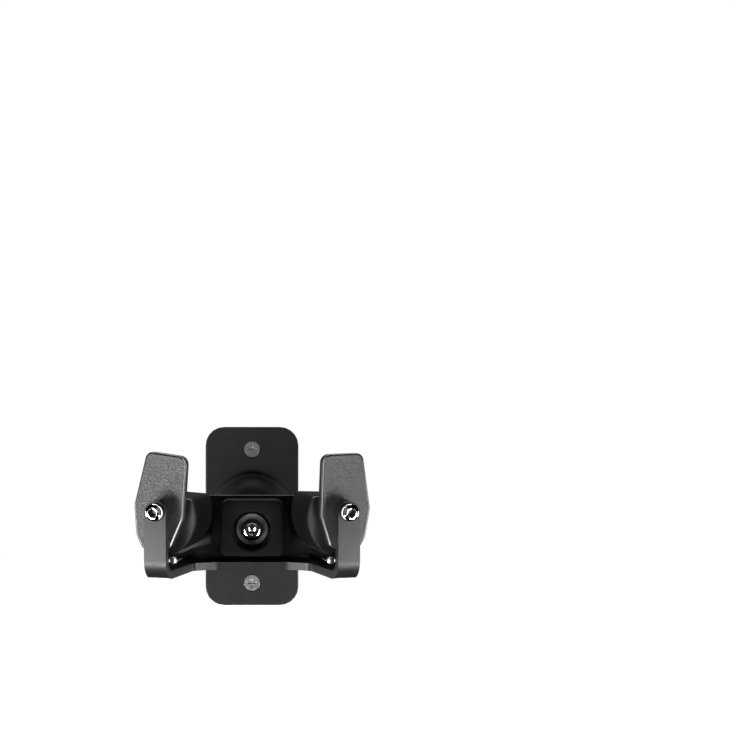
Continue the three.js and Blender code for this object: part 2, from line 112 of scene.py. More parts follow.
# ---- mesh helpers ---------------------------------------------------------------------------
def make(name, verts, faces, matrix, body, material, sharp=35, replaces=()):
    mesh = bpy.data.meshes.new(name)
    points = [matrix @ Vector(v) for v in verts]
    if matrix.to_3x3().determinant() < 0:
        faces = [tuple(reversed(f)) for f in faces]
    mesh.from_pydata([tuple(p) for p in points], [], faces)
    mesh.validate()
    mesh.update()
    mesh.shade_smooth()
    mesh.set_sharp_from_angle(angle=math.radians(sharp))
    obj = bpy.data.objects.new(name, mesh)
    bpy.context.scene.collection.objects.link(obj)
    mesh.materials.append(material)
    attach(obj, body)
    if replaces:
        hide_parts(*replaces)
    return obj


def bevel(obj, width, segments=3, angle=32):
    mod = obj.modifiers.new("edge_round", "BEVEL")
    mod.width = width * MM
    mod.segments = segments
    mod.limit_method = "ANGLE"
    mod.angle_limit = math.radians(angle)
    mod.harden_normals = True
    mod.use_clamp_overlap = True
    return obj


def join_rings(rings):
    """Quads between rings of equally many points."""
    count = len(rings[0])
    faces = []
    for low in range(0, (len(rings) - 1) * count, count):
        high = low + count
        for i in range(count):
            j = (i + 1) % count
            faces.append((low + i, low + j, high + j, high + i))
    return faces


def ring_solid(rings):
    """A tube through the rings with a cap on each end."""
    count = len(rings[0])
    start = (len(rings) - 1) * count
    verts = [p for ring in rings for p in ring]
    faces = join_rings(rings)
    faces.append(tuple(reversed(range(count))))
    faces.append(tuple(range(start, start + count)))
    return verts, faces


def closed_rings(rings):
    """A tube through the rings whose last ring is joined back to its first."""
    count = len(rings[0])
    last = (len(rings) - 1) * count
    verts = [p for ring in rings for p in ring]
    faces = join_rings(rings)
    for i in range(count):
        j = (i + 1) % count
        faces.append((last + i, last + j, j, i))
    return verts, faces


def round_ring(radius, along, sides):
    angles = [2 * math.pi * i / sides for i in range(sides)]
    return [(radius * math.cos(a), along, -radius * math.sin(a)) for a in angles]


def lathe(profile, sides=96):
    """Profile of (radius, along) from one end to the other; radius 0 is a pole."""
    verts, faces, rows = [], [], []
    for radius, along in profile:
        if radius == 0:
            rows.append([len(verts)])
            verts.append((0, along, 0))
        else:
            rows.append(list(range(len(verts), len(verts) + sides)))
            verts.extend(round_ring(radius, along, sides))
    for low, high in zip(rows, rows[1:]):
        for i in range(sides):
            j = (i + 1) % sides
            if len(low) == 1:
                faces.append((low[0], high[j], high[i]))
            elif len(high) == 1:
                faces.append((low[i], low[j], high[0]))
            else:
                faces.append((low[i], low[j], high[j], high[i]))
    return verts, faces


def rounded(corners, steps=12):
    """Rounds each (x, z, radius) corner of a polygon."""
    result = []
    for index, (x, z, radius) in enumerate(corners):
        if not radius:
            result.append((x, z))
            continue
        here = Vector((x, z))
        before = (Vector(corners[index - 1][:2]) - here).normalized()
        after = (Vector(corners[(index + 1) % len(corners)][:2]) - here).normalized()
        half = math.acos(max(-1, min(1, before.dot(after)))) / 2
        centre = here + (before + after).normalized() * (radius / math.sin(half))
        start = here + before * (radius / math.tan(half)) - centre
        end = here + after * (radius / math.tan(half)) - centre
        turn = math.atan2(start.x * end.y - start.y * end.x, start.dot(end))
        for step in range(steps + 1):
            a = turn * step / steps
            c, s = math.cos(a), math.sin(a)
            result.append((centre.x + start.x * c - start.y * s, centre.y + start.x * s + start.y * c))
    return result


def resample(points, count):
    loop = [Vector(p) for p in points] + [Vector(points[0])]
    lengths = [0.0]
    for a, b in zip(loop, loop[1:]):
        lengths.append(lengths[-1] + (b - a).length)
    result, k = [], 0
    for i in range(count):
        target = lengths[-1] * i / count
        while lengths[k + 1] < target:
            k += 1
        span = lengths[k + 1] - lengths[k]
        t = (target - lengths[k]) / span if span else 0
        p = loop[k].lerp(loop[k + 1], t)
        result.append((p.x, p.y))
    return result


def resample_like(points, other):
    """The same loop with its points starting and turning as the other loop's do."""
    loop = points if area(points) * area(other) > 0 else list(reversed(points))
    first = min(range(len(loop)), key=lambda i: (Vector(loop[i]) - Vector(other[0])).length)
    return loop[first:] + loop[:first]


def area(points):
    return sum(a[0] * b[1] - b[0] * a[1] for a, b in zip(points, points[1:] + points[:1])) / 2


def inset(points, amount):
    """Moves a loop inward by amount along its averaged normals."""
    sign = 1 if area(points) > 0 else -1
    result = []
    count = len(points)
    for i, p in enumerate(points):
        before = Vector(points[i - 1])
        after = Vector(points[(i + 1) % count])
        tangent = (after - before).normalized()
        normal = Vector((-tangent.y, tangent.x)) * sign
        result.append((p[0] + normal.x * amount, p[1] + normal.y * amount))
    return result


def at_depth(points, along):
    return [(x, along, z) for x, z in points]


def front_first(points):
    """Loop direction that makes ring_solid's faces point outward when rings run front to back."""
    return points if area(points) < 0 else list(reversed(points))


# ---- materials ------------------------------------------------------------------------------
def nodes_of(name):
    material = bpy.data.materials.new(name)
    material.use_nodes = True
    tree = material.node_tree
    shader = tree.nodes["Principled BSDF"]
    coords = tree.nodes.new("ShaderNodeTexCoord")
    return material, tree, shader, coords


def noise_node(tree, coords, scale, detail=3.0, rough=0.5):
    node = tree.nodes.new("ShaderNodeTexNoise")
    node.inputs["Scale"].default_value = scale
    node.inputs["Detail"].default_value = detail
    node.inputs["Roughness"].default_value = rough
    tree.links.new(coords.outputs["Object"], node.inputs["Vector"])
    return node


def map_range(tree, source, low, high, from_low=0.3, from_high=0.7):
    node = tree.nodes.new("ShaderNodeMapRange")
    node.inputs["From Min"].default_value = from_low
    node.inputs["From Max"].default_value = from_high
    node.inputs["To Min"].default_value = low
    node.inputs["To Max"].default_value = high
    tree.links.new(source, node.inputs["Value"])
    return node.outputs["Result"]


def colour_mix(tree, factor, first, second):
    node = tree.nodes.new("ShaderNodeMix")
    node.data_type = "RGBA"
    node.inputs["A"].default_value = (*first, 1)
    node.inputs["B"].default_value = (*second, 1)
    tree.links.new(factor, node.inputs["Factor"])
    return node.outputs["Result"]


def bump(tree, shader, height, strength, distance, previous=None):
    node = tree.nodes.new("ShaderNodeBump")
    node.inputs["Strength"].default_value = strength
    node.inputs["Distance"].default_value = distance
    tree.links.new(height, node.inputs["Height"])
    if previous is not None:
        tree.links.new(previous, node.inputs["Normal"])
    tree.links.new(node.outputs["Normal"], shader.inputs["Normal"])
    return node.outputs["Normal"]


def surface(name, dark, light, rough, metallic=0.0, scale=120.0, fine=1500.0, bump_mm=0.02, specular=0.5,
            coat=0.0):
    """Mottled colour and roughness with a fine bumpy skin. rough is (low, high)."""
    material, tree, shader, coords = nodes_of(name)
    broad = noise_node(tree, coords, scale)
    grain = noise_node(tree, coords, fine, detail=2.0)
    links = tree.links
    tone = colour_mix(tree, map_range(tree, broad.outputs["Fac"], 0, 1), dark, light)
    links.new(tone, shader.inputs["Base Color"])
    links.new(map_range(tree, grain.outputs["Fac"], *rough), shader.inputs["Roughness"])
    shader.inputs["Metallic"].default_value = metallic
    shader.inputs["Specular IOR Level"].default_value = specular
    shader.inputs["Coat Weight"].default_value = coat
    shader.inputs["Coat Roughness"].default_value = 0.25
    bump(tree, shader, grain.outputs["Fac"], 0.35, bump_mm * MM)
    return material


def grained_plastic():
    """Moulded pebble grain: small domed cells with fine creases between them, the creases also painted darker as
    shade.
    """
    material, tree, shader, coords = nodes_of("gate_grain")
    links = tree.links
    cells = tree.nodes.new("ShaderNodeTexVoronoi")
    cells.feature = "DISTANCE_TO_EDGE"
    cells.inputs["Scale"].default_value = 1250
    warp = noise_node(tree, coords, 700)
    add = tree.nodes.new("ShaderNodeVectorMath")
    add.operation = "MULTIPLY_ADD"
    add.inputs[1].default_value = (0.0006, 0.0006, 0.0006)
    links.new(warp.outputs["Color"], add.inputs[0])
    links.new(coords.outputs["Object"], add.inputs[2])
    links.new(add.outputs["Vector"], cells.inputs["Vector"])
    crease_and_painted_shade = map_range(tree, cells.outputs["Distance"], 0, 1, 0.0, 0.3)
    broad = noise_node(tree, coords, 620, detail=4.0, rough=0.6)
    mottle = map_range(tree, broad.outputs["Fac"], 0, 1, 0.36, 0.64)
    tone = colour_mix(tree, mottle, (0.082, 0.086, 0.090), (0.136, 0.142, 0.147))
    # Painted shade: the creases between the cells are mixed towards a darker grey than the domes.
    mix = tree.nodes.new("ShaderNodeMix")
    mix.data_type = "RGBA"
    mix.inputs["A"].default_value = (0.078, 0.081, 0.084, 1)
    links.new(crease_and_painted_shade, mix.inputs["Factor"])
    links.new(tone, mix.inputs["B"])
    links.new(mix.outputs["Result"], shader.inputs["Base Color"])
    links.new(map_range(tree, crease_and_painted_shade, 0.62, 0.42, 0, 1), shader.inputs["Roughness"])
    bump(tree, shader, crease_and_painted_shade, 0.5, 0.04 * MM)
    return material


def grey(low, high, blue=0.0):
    """The dark and light colours of a neutral surface, with a little more blue if asked."""
    return (low, low, low + blue), (high, high, high + blue)


MATERIALS = {
    "black_paint": surface("black_paint", *grey(0.011, 0.015), (0.34, 0.42), scale=90, fine=1400,
                           specular=0.38),
    "gate_plastic": grained_plastic(),
    "gate_edge": surface("gate_edge", (0.035, 0.036, 0.038), (0.045, 0.046, 0.048), (0.16, 0.22),
                         fine=900, bump_mm=0.002, specular=1.0, coat=0.6),
    "rest_plastic": surface("rest_plastic", (0.008, 0.008, 0.0076), (0.011, 0.011, 0.0106),
                            (0.42, 0.55), scale=70, fine=2200, bump_mm=0.01),
    "cover_plastic": surface("cover_plastic", *grey(0.016, 0.022), (0.45, 0.6), fine=1800),
    "black_rubber": surface("black_rubber", *grey(0.003, 0.005), (0.75, 0.9), scale=200, fine=2600,
                            bump_mm=0.05, specular=0.12),
    "satin_chrome": surface("satin_chrome", *grey(0.80, 0.86, 0.01), (0.30, 0.38), metallic=1,
                            fine=900, bump_mm=0.002),
    # Painted shade for the inside of the bolts' hex sockets: a dark grey steel.
    "socket_painted_shade": surface("socket_painted_shade", *grey(0.05, 0.07), (0.4, 0.5), metallic=1),
    "chrome": surface("chrome", *grey(0.80, 0.86, 0.01), (0.07, 0.13), metallic=1, fine=600,
                      bump_mm=0.002),
    "zinc_steel": surface("zinc_steel", *grey(0.34, 0.44, 0.01), (0.3, 0.44), metallic=1, scale=400,
                          bump_mm=0.01),
    "spring_steel": surface("spring_steel", *grey(0.36, 0.46, 0.01), (0.25, 0.4), metallic=1),
    "nylon": surface("nylon", *grey(0.012, 0.018), (0.4, 0.55)),
    "bronze": surface("bronze", (0.42, 0.29, 0.14), (0.52, 0.37, 0.19), (0.3, 0.5), metallic=1),
}


# ---- yoke -----------------------------------------------------------------------------------
def yoke_plan(label, inward, along):
    """A point of one side's axle frame as (x, y) millimetres in the row's frame."""
    point = side_matrix(label) @ Vector((inward, along, 0))
    return point.x / MM, point.y / MM


def bend_rows(edge_a, edge_b, direction, radius, floor):
    """Points of the outer skin of a bend from the tray's underside up to vertical.

    The edge runs a to b on the underside; direction is the horizontal way the bend travels."""
    rows = []
    for step in range(BEND_STEPS + 1):
        a = math.pi / 2 * step / BEND_STEPS
        out = radius * math.sin(a)
        up = radius * (1 - math.cos(a))
        rows.append([(e[0] + direction[0] * out, e[1] + direction[1] * out, floor + up)
                     for e in (edge_a, edge_b)])
    return rows


def yoke_frame():
    """One steel sheet: tray, two front straps and a back plate in three facets."""
    pivot_z = joint("left_gate_swing")["pos_m"][2] / MM
    floor = pivot_z - TRAY_DROP
    top = pivot_z + BACK_RISE
    verts, faces = [], []

    def add(point):
        for i, known in enumerate(verts):
            if (Vector(known) - Vector(point)).length < 1e-4:
                return i
        verts.append(tuple(point))
        return len(verts) - 1

    def direction(label):
        a = Vector(yoke_plan(label, 0, 1)) - Vector(yoke_plan(label, 0, 0))
        return a.normalized()

    # Outline of the tray's flat underside, one half: from the notch's back round the outside to the
    # rear bend.
    front_y = yoke_plan("left", EAR_INNER, EAR_START)[1]
    back_skin = front_y + SHEET
    tray = {}
    for label, side in SIDES.items():
        inner_foot = yoke_plan(label, STRAP_HALF, BEND_OUTER)
        outer_foot = yoke_plan(label, -STRAP_HALF, BEND_OUTER)
        ear_end = EAR_BACK - REAR_BEND
        outer_ear = yoke_plan(label, EAR_OUTER, ear_end)
        # the seam between ear and middle plate, on the mitre line of both bends
        seam = mitre(label, front_y, ear_end)
        tray[label] = {
            "notch": [(side * out, y, radius) for out, y, radius in NOTCH],
            "inner_foot": inner_foot, "outer_foot": outer_foot,
            "flank": [(*yoke_plan(label, -STRAP_HALF - 1.5, 20), 12),
                      (*yoke_plan(label, EAR_OUTER, 34), 12)],
            "outer_ear": outer_ear, "seam": seam,
        }

    def half(label):
        t = tray[label]
        return (t["notch"] + [(*t["inner_foot"], 0), (*t["outer_foot"], 0)] + t["flank"]
                + [(*t["outer_ear"], 0), (*t["seam"], 0)])

    outline = rounded(half("left") + list(reversed(half("right"))), steps=8)
    loop = [add((x, y, floor)) for x, y in outline]
    faces.append(tuple(loop))

    # Straps.
    for label in SIDES:
        t = tray[label]
        way = -direction(label)
        rows = bend_rows(t["inner_foot"], t["outer_foot"], way, BEND_OUTER, floor)
        strip = [[add(p) for p in row] for row in rows]
        for low, high in zip(strip, strip[1:]):
            faces.append((low[0], low[1], high[1], high[0]))
        arc = []
        for step in range(33):
            a = math.pi * step / 32
            x, y = yoke_plan(label, -STRAP_HALF * math.cos(a), 0)
            arc.append(add((x, y, pivot_z + STRAP_HALF * math.sin(a))))
        # arc runs from the outer edge over the top to the inner edge
        faces.append(tuple([strip[-1][0], strip[-1][1]] + arc))

    # Back plate: left ear, middle, right ear, sharing mitred columns.
    columns = []
    for label in ("left", "right"):
        t = tray[label]
        way = direction(label)
        ear = bend_rows(t["outer_ear"], t["outer_ear"], way, REAR_BEND, floor)
        seam = []
        for step in range(BEND_STEPS + 1):
            a = math.pi / 2 * step / BEND_STEPS
            depth = EAR_BACK - REAR_BEND + REAR_BEND * math.sin(a)
            x, y = mitre(label, front_y, depth)
            seam.append((x, y, floor + REAR_BEND * (1 - math.cos(a))))
        outer = [row[0] for row in ear]
        columns.append((outer, seam))
    (left_outer, left_seam), (right_outer, right_seam) = columns
    order = [left_outer, left_seam, right_seam, right_outer]
    for first, second in zip(order, order[1:]):
        a = [add(p) for p in first]
        b = [add(p) for p in second]
        for i in range(BEND_STEPS):
            faces.append((a[i], b[i], b[i + 1], a[i + 1]))
    for label, outer, seam in (("left", left_outer, left_seam), ("right", right_outer, right_seam)):
        corner = []
        r = EAR_ROUND
        for step in range(9):
            a = math.pi / 2 * step / 8
            x, y = yoke_plan(label, EAR_OUTER + r - r * math.cos(a), EAR_BACK)
            corner.append(add((x, y, top - r + r * math.sin(a))))
        ids = [add(seam[-1]), add(outer[-1])] + corner + [add((seam[-1][0], seam[-1][1], top))]
        faces.append(tuple(ids))
    corners = [left_seam[-1], right_seam[-1], (right_seam[-1][0], right_seam[-1][1], top),
               (left_seam[-1][0], left_seam[-1][1], top)]
    holes = [[(x, back_skin, z) for x, z in loop] for loop in (bolt_hole(), swivel_slot())]
    points = corners + holes[0] + holes[1]
    for triangle in tessellate_polygon([[Vector(p) for p in loop] for loop in (corners, *holes)]):
        faces.append(tuple(add(points[i]) for i in triangle))
    return verts, faces


def bolt_hole(radius=3.3, steps=48):
    return [(radius * math.cos(2 * math.pi * i / steps), radius * math.sin(2 * math.pi * i / steps))
            for i in range(steps)]


def swivel_slot(circle=10.5, half_width=1.95, travel=math.radians(15)):
    """Curved slot above the swivel bolt that the stop pin runs in."""
    points = []
    arcs = ((circle + half_width, -travel, travel), (circle - half_width, travel, -travel))
    for radius, start, end in arcs:
        for step in range(13):
            a = start + (end - start) * step / 12
            points.append((radius * math.sin(a), radius * math.cos(a)))
        cx, cz = circle * math.sin(end), circle * math.cos(end)
        begin = math.pi / 2 - end if end > 0 else -math.pi / 2 - end
        for step in range(1, 12):
            a = begin - math.pi * step / 12
            points.append((cx + half_width * math.cos(a), cz + half_width * math.sin(a)))
    return points


def mitre(label, front_y, depth):
    """Where the ear's skin at this depth along the axle meets the middle plate's skin."""
    base = Vector(yoke_plan(label, 0, depth))
    way = (Vector(yoke_plan(label, 1, depth)) - base).normalized()
    y = front_y + (depth - EAR_START)
    t = (y - base.y) / way.y
    return base.x + way.x * t, y


def build_yoke():
    verts, faces = yoke_frame()
    obj = make("yoke_sheet", verts, faces, PLAIN, "yoke", MATERIALS["black_paint"],
               sharp=30, replaces=["yoke_frame"])
    bm = bmesh.new()
    bm.from_mesh(obj.data)
    bmesh.ops.remove_doubles(bm, verts=bm.verts, dist=1e-6)
    bmesh.ops.recalc_face_normals(bm, faces=bm.faces)
    # The skin is the outside of the sheet: its tray faces down.
    tray_face = max(bm.faces, key=lambda f: f.calc_area())
    if tray_face.normal.z > 0:
        bmesh.ops.reverse_faces(bm, faces=bm.faces)
    bm.to_mesh(obj.data)
    bm.free()
    solid = obj.modifiers.new("thickness", "SOLIDIFY")
    solid.thickness = SHEET * MM
    solid.offset = -1
    solid.use_even_offset = True
    bevel(obj, 0.55, 3, 40)
    return obj


# ---- one side -------------------------------------------------------------------------------
# Corners as (inward, up, radius).
GATE_CORNERS = [(10.3, -2.7, 2), (10.3, 24.6, 4), (-8.4, 25.9, 3.4), (-12.9, 1.3, 7), (-11.1, -11.5, 6),
                (-7.6, -18.1, 3), (5.4, -16.3, 2.5)]


def pebble(x, z, seed):
    """Height of the moulded grain, 0 in the creases to 1 on the domes."""
    warp = noise.noise_vector(Vector((x * 1.1, z * 1.1, seed))) * 0.35
    p = Vector((x, z, seed)) + warp
    distances, _ = noise.voronoi(p / 1.05, distance_metric="DISTANCE", exponent=2.5)
    edge = min(1.0, (distances[1] - distances[0]) / 0.35)
    return edge * edge * (3 - 2 * edge)


def gate(label):
    """Gate plate with a grained face. b is how far its smooth bevelled edge goes in and back."""
    noise.seed_set(GRAIN_SEED)
    count, rings_in = 400, 62
    b, grain_depth = 0.75, 0.12
    seed = 3.0 if label == "left" else 11.0
    outline = front_first(resample(rounded(GATE_CORNERS, 10), count))
    back = GATE_FRONT + GATE_THICK
    centre = Vector((-0.4, 3.5))
    rings = []
    face_edge = inset(outline, b + 0.12)
    for k in range(rings_in):
        ring = []
        for x, z in face_edge:
            p = centre.lerp(Vector((x, z)), max(0.004, k / (rings_in - 1)))
            fade = min(1.0, (1 - k / (rings_in - 1)) * 14)
            dip = grain_depth * fade * (1 - pebble(p.x, p.y, seed))
            ring.append((p.x, GATE_FRONT + dip, p.y))
        rings.append(ring)
    front_edge = ((b, 0.02), (b - 0.08, 0.08), (0.12, b - 0.12), (0.03, b + 0.03), (0, b + 0.25))
    for amount, along in front_edge:
        rings.append(at_depth(inset(outline, amount), GATE_FRONT + along))
    for amount, along in ((0, -0.9), (0.12, -0.5), (0.4, -0.15), (0.8, 0)):
        rings.append(at_depth(inset(outline, amount), back + along))
    verts, faces = ring_solid(rings)
    shell = make(label + "_gate_shell", verts, faces, cam_matrix(label), label + "_cam",
                 MATERIALS["gate_plastic"], sharp=40, replaces=[label + "_gate"])
    shell.data.materials.append(MATERIALS["gate_edge"])
    grained = count * (rings_in - 1)
    for polygon in shell.data.polygons:
        if min(polygon.vertices) >= grained:
            polygon.material_index = 1
    return shell


def rest_outline(grow=0.0, rise=0.0, count=320):
    """Flat-topped rest; grow is added all round the end disc's outline, and rise to its flat top."""
    cx, cz, radius = -4.0, -3.4, 18.6 + grow
    top, fillet, outer, corner = 5.6 + rise, 3.0, -9.6 - grow, 3.0
    lift = top - fillet - cz
    fx = cx + math.sqrt((radius - fillet) ** 2 - lift ** 2)
    start = math.atan2(lift, fx - cx)
    points = []
    for step in range(13):
        a = math.pi / 2 + (start - math.pi / 2) * step / 12
        points.append((fx + fillet * math.cos(a), top - fillet + fillet * math.sin(a)))
    end = math.radians(-100)
    for step in range(1, 81):
        a = start + (end - start) * step / 80
        points.append((cx + radius * math.cos(a), cz + radius * math.sin(a)))
    points.append((outer, -15))
    for step in range(13):
        a = math.pi - math.pi / 2 * step / 12
        points.append((outer + corner + corner * math.cos(a), top - corner + corner * math.sin(a)))
    return front_first(resample(points, count))


def rest_disc(label):
    outline = rest_outline()
    rings = [at_depth(inset(outline, 1.2), REST_FRONT), at_depth(inset(outline, 0.3), REST_FRONT),
             at_depth(inset(outline, 0.08), REST_FRONT + 0.08), at_depth(outline, REST_FRONT + 0.3),
             at_depth(outline, REST_FRONT + REST_DISC - 0.4),
             at_depth(inset(outline, 0.12), REST_FRONT + REST_DISC - 0.12),
             at_depth(inset(outline, 0.4), REST_FRONT + REST_DISC)]
    verts, faces = ring_solid(rings)
    return make(label + "_rest_disc", verts, faces, cam_matrix(label), label + "_cam",
                MATERIALS["rest_plastic"], sharp=40, replaces=[label + "_rest_core"])


def stop_lug(label):
    """Lug on the end disc's edge that meets the stop rod when the gate is open."""
    inward, up, rod = STOP_ROD
    distance = math.hypot(inward, up)
    near = math.atan2(up, inward) - (rod + GAP) / distance + LEAN["right"]
    far = near - math.radians(12)
    tip = distance + 0.2
    root = 15
    spots = [(near, root), (near, tip), ((near + far) / 2, tip + 0.2), (far, tip - 0.2), (far, root)]
    corners = [(r * math.cos(a), r * math.sin(a), 0.5 if r > root else 0) for a, r in spots]
    outline = front_first(resample(rounded(corners, 5), 120))
    back = REST_FRONT + REST_DISC
    rings = [at_depth(inset(outline, 0.3), REST_FRONT + 0.02), at_depth(outline, REST_FRONT + 0.32),
             at_depth(outline, back - 0.32), at_depth(inset(outline, 0.3), back - 0.02)]
    verts, faces = ring_solid(rings)
    return make(label + "_stop_lug", verts, faces, cam_matrix(label), label + "_cam",
                MATERIALS["rest_plastic"], sharp=40)


def rest_hub(label):
    """The core inside the sleeve, with the spring's pocket open at the back."""
    inner = SLEEVE_INSET + SLEEVE_THICK
    outline = rest_outline(-inner, SLEEVE_RISE - SLEEVE_THICK)
    pocket, bore = 4.55, 3.5
    floor = REST_BACK - 8
    hole = [math.atan2(z, x) for x, z in outline]

    def circle(radius, along):
        return [(radius * math.cos(a), along, radius * math.sin(a)) for a in hole]

    start = REST_FRONT + REST_DISC - 0.1
    rings = [circle(bore, start), at_depth(outline, start), at_depth(outline, REST_BACK - 0.3),
             at_depth(inset(outline, 0.3), REST_BACK), circle(pocket + 0.1, REST_BACK),
             circle(pocket, REST_BACK - 0.1), circle(pocket, floor), circle(bore, floor)]
    verts, faces = closed_rings(rings)
    return make(label + "_rest_hub", verts, faces, cam_matrix(label), label + "_cam",
                MATERIALS["rest_plastic"], sharp=35)


def rest_sleeve(label):
    """Soft sleeve round the hub: rolled ends and a face that swells a little along its length."""
    outline = rest_outline(-SLEEVE_INSET, SLEEVE_RISE)
    inner = SLEEVE_INSET + SLEEVE_THICK - GAP
    bore = resample_like(rest_outline(-inner, SLEEVE_RISE - SLEEVE_THICK + GAP), outline)
    start = REST_FRONT + REST_DISC + GAP
    length = REST_BACK - start
    steps = 60
    rings = [at_depth(bore, start), at_depth(inset(outline, 0.8), start)]
    for step in range(steps + 1):
        t = step / steps
        end = min(t, 1 - t) * length
        lip = 0.7 * max(0.0, 1 - end / 1.1) ** 2
        swell = 0.3 * (2 * t - 1) ** 2
        rings.append(at_depth(inset(outline, lip + swell), start + t * length))
    rings += [at_depth(inset(outline, 0.85), REST_BACK), at_depth(bore, REST_BACK)]
    verts, faces = closed_rings(rings)
    sleeve = make(label + "_soft_sleeve", verts, faces, cam_matrix(label), label + "_cam",
                  MATERIALS["black_rubber"], sharp=50,
                  replaces=[label + "_rest_sleeve"])
    return sleeve


def socket_head(profile, flats, depth, sides=SOCKET_SIDES):
    """Domed head with a hex socket, then the rest of the profile to the far pole.

    profile is (radius, along) from the rim of the socket outward and back."""
    verts, faces = [], []

    def hexagonal(radius_scale):
        ring = []
        for i in range(sides):
            a = 2 * math.pi * i / sides
            local = (a + math.pi / 6) % (math.pi / 3) - math.pi / 6
            r = flats / 2 / math.cos(local) * radius_scale
            ring.append((r * math.cos(a), r * math.sin(a)))
        return ring

    rows = []

    def row(points, along):
        rows.append(list(range(len(verts), len(verts) + sides)))
        verts.extend((x, along, -z) for x, z in points)

    top = profile[0][1]
    verts.append((0, top + depth + flats * 0.18, 0))
    row(hexagonal(0.96), top + depth)
    row(hexagonal(1.0), top + depth - 0.08)
    row(hexagonal(1.0), top + 0.22)
    row(hexagonal(1.07), top + 0.04)
    for radius, along in profile:
        row([(radius * math.cos(2 * math.pi * i / sides), radius * math.sin(2 * math.pi * i / sides))
             for i in range(sides)], along)
    for i in range(sides):
        faces.append((0, rows[0][(i + 1) % sides], rows[0][i]))
    for low, high in zip(rows, rows[1:]):
        for i in range(sides):
            j = (i + 1) % sides
            faces.append((low[i], low[j], high[j], high[i]))
    faces.append(tuple(reversed(rows[-1])))
    return verts, faces


def dome(radius, height, face, rim, steps=10):
    """Profile of a button head from its flat crown to its rim. face is where the crown lies."""
    points = []
    for step in range(steps + 1):
        a = math.pi / 2 * step / steps
        r = rim + (radius - rim) * math.sin(a)
        points.append((r, face + (height - 0.35) * (1 - math.cos(a))))
    points += [(radius, face + height - 0.15), (radius - 0.12, face + height)]
    return points


def axle_bolt(label):
    head_radius, head_height, crown = 4.1, 2.67, 2.15
    root, pitch = 2.2, 0.8
    shank_end = EAR_START + 11.6
    along = EAR_BACK + 6
    profile = dome(head_radius, head_height, -GAP - head_height, crown)
    profile += [(AXLE_RADIUS, -GAP), (AXLE_RADIUS, along)]
    while along < shank_end - 1:
        profile += [(AXLE_RADIUS, along + 0.1), (root, along + 0.35), (root, along + 0.45),
                    (AXLE_RADIUS, along + 0.7)]
        along += pitch
    profile += [(2.0, shank_end)]
    verts, faces = socket_head(profile, 3.2, 1.7)
    bolt = make(label + "_chrome_bolt", verts, faces, side_matrix(label), "yoke",
                MATERIALS["chrome"], sharp=35, replaces=[label + "_axle_bolt"])
    socket_end = 1 + 3 * SOCKET_SIDES
    # Painted shade: the inside of the hex socket gets the dark steel so that the recess reads as shaded.
    second_material(bolt, MATERIALS["socket_painted_shade"], lambda ids: max(ids) < socket_end)
    return bolt


def second_material(obj, material, chosen):
    """Gives the faces whose vertex numbers satisfy chosen the second material."""
    obj.data.materials.append(material)
    for polygon in obj.data.polygons:
        if chosen(polygon.vertices):
            polygon.material_index = 1


def stop_rod(label):
    inward, up, r = STOP_ROD
    back = EAR_BACK + GAP
    satin_end = 11
    verts, faces = lathe([(0, 8.5), (0.7, 8.56), (1.25, 8.78), (1.62, 9.15), (1.75, 9.6), (1.75, 10.6),
                          (1.6, 10.8), (r, 10.9), (r, back), (2.3, back + 0.02),
                          (2.3, back + 0.5), (2.0, back + 0.9), (1.2, back + 1.1), (0, back + 1.1)], 64)
    verts = [(x + inward, y, z + up) for x, y, z in verts]
    rod = make(label + "_stop_pin_rod", verts, faces, side_matrix(label), "yoke",
               MATERIALS["chrome"], replaces=[label + "_stop_rod"])
    second_material(rod, MATERIALS["satin_chrome"],
                    lambda ids: max(verts[i][1] for i in ids) < satin_end)
    return rod


def ring_piece(name, inner, outer, start, end, matrix, body, slot, replaces, sides=72):
    e = min(0.2, (end - start) / 5)
    profile = [(inner, start + e), (inner + e, start), (outer - e, start), (outer, start + e),
               (outer, end - e), (outer - e, end), (inner + e, end), (inner, end - e)]
    verts, faces = closed_rings([round_ring(r, y, sides) for r, y in profile])
    return make(name, verts, faces, matrix, body, MATERIALS[slot], sharp=35,
                replaces=replaces)


def build_side(label):
    m = side_matrix(label)
    gate(label)
    rest_disc(label)
    stop_lug(label)
    rest_hub(label)
    rest_sleeve(label)
    axle_bolt(label)
    stop_rod(label)
    ring_piece(label + "_spacer_ring", AXLE_BORE, 4.5, SHEET + GAP, GATE_FRONT - GAP, m, "yoke",
               "nylon", [label + "_front_spacer"])
    ring_piece(label + "_thrust_ring", AXLE_BORE, 5.5, REST_BACK + GAP, EAR_START - GAP, m, "yoke",
               "nylon", [label + "_rear_spacer"])
    ring_piece(label + "_nut_washer", AXLE_BORE, 4.2, EAR_BACK + GAP, EAR_BACK + GAP + 1, m, "yoke",
               "zinc_steel", [label + "_rear_washer"])


# ---- base -----------------------------------------------------------------------------------
def base_cover():
    lo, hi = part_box("base_cover")
    back, front, r = hi.y / MM, lo.y / MM, hi.x / MM
    hole = 9.5
    neck, neck_y = hole + 4.2, front + 1.8
    skirt, skirt_y = r - 1.2, back - 5.2
    profile = [(hole, front + 0.4), (hole + 0.4, front), (hole + 2.0, front),
               (hole + 2.7, front + 0.35), (hole + 3.6, front + 1.2)]
    steps = 16
    for step in range(steps + 1):
        t = step / steps
        ease = 0.35 * t + 0.65 * t * t * (3 - 2 * t)
        profile.append((neck + (skirt - neck) * t ** 0.8, neck_y + (skirt_y - neck_y) * ease))
    profile += [(r - 0.35, back - 4.6), (r, back - 3.8), (r, back - 0.4), (r - 0.3, back),
                (r - 2, back), (r - 2.2, back - 3.5), (hole + 2.5, front + 3.4), (hole, front + 2)]
    verts, faces = closed_rings([round_ring(q, y, 128) for q, y in profile])
    return make("moulded_cover", verts, faces, PLAIN, "base",
                MATERIALS["cover_plastic"], sharp=40, replaces=["base_cover"])


